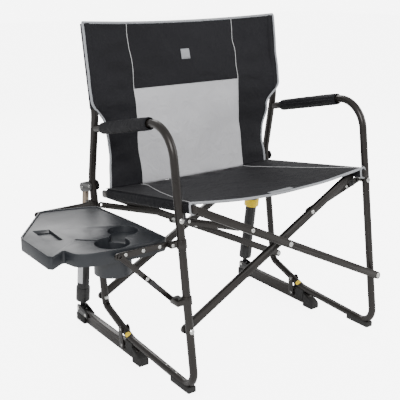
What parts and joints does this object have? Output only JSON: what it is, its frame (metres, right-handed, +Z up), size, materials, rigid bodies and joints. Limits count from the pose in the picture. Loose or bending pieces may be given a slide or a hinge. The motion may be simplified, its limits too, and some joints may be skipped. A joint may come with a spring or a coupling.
{
  "type": "folding camp rocking chair",
  "caption": "Folding camp chair on sprung rocker bars, with cloth seat and back, padded arms and a fold-down side table.",
  "frame": {"origin": "on the ground under the middle of the chair's outline, side table included", "axes": "+Z up; the sitter faces -Y; the side table is at -X, the sitter's right"},
  "size_m": [1.02, 0.664, 0.9438],
  "materials": {
    "powder_coat": "satin dark bronze powder coat",
    "zinc": "bright domed rivets",
    "nylon": "moulded black nylon",
    "rubber": "matt black rubber",
    "yellow": "bright yellow plastic",
    "rod": "smooth bronze",
    "strut_black": "satin black",
    "tray": "dark grey fine grain",
    "padding": "neoprene wrap",
    "cloth": "woven polyester"
  },
  "bodies": {
    "frame_right": {"front_tube_r": "powder_coat", "rear_tube_r": "powder_coat", "arm_pad_r": "padding", "foot_r": "rubber", "pin_low_front_r": "zinc", "pin_low_rear_r": "zinc", "pin_link_r": "zinc", "yoke_r": "powder_coat", "post_bracket_r": "powder_coat", "table_bracket_front": "powder_coat", "table_bracket_rear": "powder_coat", "brace_bracket": "powder_coat", "back_sling": "cloth"},
    "scissor_b": {"bar_front_b": "powder_coat", "bar_rear_b": "powder_coat", "rail_l": "powder_coat", "pin_centre_front": "zinc", "pin_centre_rear": "zinc", "seat_sling": "cloth"},
    "scissor_a": {"bar_front_a": "powder_coat", "bar_rear_a": "powder_coat", "rail_r": "powder_coat"},
    "frame_left": {"front_tube_l": "powder_coat", "rear_tube_l": "powder_coat", "arm_pad_l": "padding", "foot_l": "rubber", "pin_low_front_l": "zinc", "pin_low_rear_l": "zinc", "pin_link_l": "zinc", "yoke_l": "powder_coat", "post_bracket_l": "powder_coat"},
    "link_front_right": {"link_front_r": "powder_coat", "rail_rest_r": "nylon"},
    "link_rear_right": {"link_rear_r": "powder_coat"},
    "link_front_left": {"link_front_l": "powder_coat", "rail_rest_l": "nylon"},
    "link_rear_left": {"link_rear_l": "powder_coat"},
    "rocker_right": {"base_bar_r": "powder_coat", "base_toe_r": "rubber", "base_heel_r": "rubber", "heel_bracket_r": "powder_coat", "bumper_r": "rubber"},
    "rocker_left": {"base_bar_l": "powder_coat", "base_toe_l": "rubber", "base_heel_l": "rubber", "heel_bracket_l": "powder_coat", "bumper_l": "rubber"},
    "strut_cylinder_right": {"strut_cyl_r": "strut_black", "strut_ring_r": "yellow"},
    "strut_cylinder_left": {"strut_cyl_l": "strut_black", "strut_ring_l": "yellow"},
    "strut_rod_right": {"strut_rod_r": "rod"},
    "strut_rod_left": {"strut_rod_l": "rod"},
    "table": {"table_top": "tray", "table_arm_front": "powder_coat", "table_arm_rear": "powder_coat"},
    "brace_upper": {"brace_upper": "powder_coat"},
    "brace_lower": {"brace_lower": "powder_coat"},
    "latch": {"brace_latch": "nylon"}
  },
  "joints": [
    {"name": "fold", "type": "hinge", "parent": "frame_right", "child": "scissor_b", "pos_m": [-0.186, 0.14767, 0.13846], "axis": [0, -0.989, 0.1478], "range_deg": [0, 43.78], "deforming": ["seat_sling", "back_sling"]},
    {"name": "fold_cross", "type": "hinge", "parent": "scissor_b", "child": "scissor_a", "pos_m": [0.149, 0.17206, 0.30165], "axis": [0, -0.989, 0.1478], "range_deg": [-91.58, 0]},
    {"name": "fold_far_side", "type": "hinge", "parent": "scissor_a", "child": "frame_left", "pos_m": [0.484, 0.14767, 0.13846], "axis": [0, -0.989, 0.1478], "range_deg": [0, 43.8]},
    {"name": "link_front_r", "type": "hinge", "parent": "frame_right", "child": "link_front_right", "pos_m": [-0.186, -0.22139, 0.48684], "axis": [0, -0.989, 0.1478], "range_deg": [0, 82.7]},
    {"name": "link_front_l", "type": "hinge", "parent": "frame_left", "child": "link_front_left", "pos_m": [0.484, -0.22139, 0.48684], "axis": [0, -0.989, 0.1478], "range_deg": [-82.7, 0]},
    {"name": "link_rear_r", "type": "hinge", "parent": "frame_right", "child": "link_rear_right", "pos_m": [-0.186, 0.15889, 0.43001], "axis": [0, -0.989, 0.1478], "range_deg": [0, 82.7]},
    {"name": "link_rear_l", "type": "hinge", "parent": "frame_left", "child": "link_rear_left", "pos_m": [0.484, 0.15889, 0.43001], "axis": [0, -0.989, 0.1478], "range_deg": [-82.7, 0]},
    {"name": "rock_right", "type": "hinge", "parent": "frame_right", "child": "rocker_right", "pos_m": [-0.186, 0.03898, 0.027], "axis": [1, 0, 0], "range_deg": [0, 14], "stiffness_Nm_per_rad": 25, "springref_deg": -6.88},
    {"name": "strut_turn_right", "type": "hinge", "parent": "rocker_right", "child": "strut_cylinder_right", "pos_m": [-0.186, 0.31298, 0.045], "axis": [1, 0, 0], "range_deg": [-14.49, 0]},
    {"name": "strut_slide_right", "type": "slide", "parent": "strut_cylinder_right", "child": "strut_rod_right", "axis": [0, -0.1437, 0.9896], "range_m": [-0.06705, 0]},
    {"name": "rock_left", "type": "hinge", "parent": "frame_left", "child": "rocker_left", "pos_m": [0.484, 0.03898, 0.027], "axis": [1, 0, 0], "range_deg": [0, 14.02], "stiffness_Nm_per_rad": 25, "springref_deg": -6.88},
    {"name": "strut_turn_left", "type": "hinge", "parent": "rocker_left", "child": "strut_cylinder_left", "pos_m": [0.484, 0.31298, 0.045], "axis": [1, 0, 0], "range_deg": [-14.49, 0]},
    {"name": "strut_slide_left", "type": "slide", "parent": "strut_cylinder_left", "child": "strut_rod_left", "axis": [0, -0.1437, 0.9896], "range_m": [-0.06705, 0]},
    {"name": "table_fold", "type": "hinge", "parent": "frame_right", "child": "table", "pos_m": [-0.211, 0.12698, 0.433], "axis": [0, -1, 0], "range_deg": [0, 80]},
    {"name": "brace_upper_turn", "type": "hinge", "parent": "table", "child": "brace_upper", "pos_m": [-0.356, -0.25052, 0.431], "axis": [0, -1, 0], "range_deg": [-128.34, 0]},
    {"name": "brace_lower_turn", "type": "hinge", "parent": "frame_right", "child": "brace_lower", "pos_m": [-0.212, -0.25482, 0.286], "axis": [0, -1, 0], "range_deg": [0, 119.04]},
    {"name": "latch_press", "type": "hinge", "parent": "brace_lower", "child": "latch", "pos_m": [-0.27273, -0.25917, 0.34715], "axis": [0, -1, 0], "range_deg": [-15, 0], "stiffness_Nm_per_rad": 0.05}
  ],
  "couplings": [
    {"joint": "fold_cross", "follows": "fold", "ratio": -2.0914},
    {"joint": "fold_far_side", "follows": "fold", "ratio": 1},
    {"joint": "link_front_r", "follows": "fold", "ratio": 1.8887},
    {"joint": "link_front_l", "follows": "fold", "ratio": -1.8887},
    {"joint": "link_rear_r", "follows": "fold", "ratio": 1.8887},
    {"joint": "link_rear_l", "follows": "fold", "ratio": -1.8887},
    {"joint": "rock_left", "follows": "rock_right", "ratio": 1},
    {"joint": "strut_turn_right", "follows": "rock_right", "ratio": -1.0333},
    {"joint": "strut_slide_right", "follows": "rock_right", "m_per_rad": -0.2736},
    {"joint": "strut_turn_left", "follows": "rock_right", "ratio": -1.0333},
    {"joint": "strut_slide_left", "follows": "rock_right", "m_per_rad": -0.2736},
    {"joint": "brace_upper_turn", "follows": "table_fold", "ratio": -1.604},
    {"joint": "brace_lower_turn", "follows": "table_fold", "ratio": 1.4877}
  ]
}
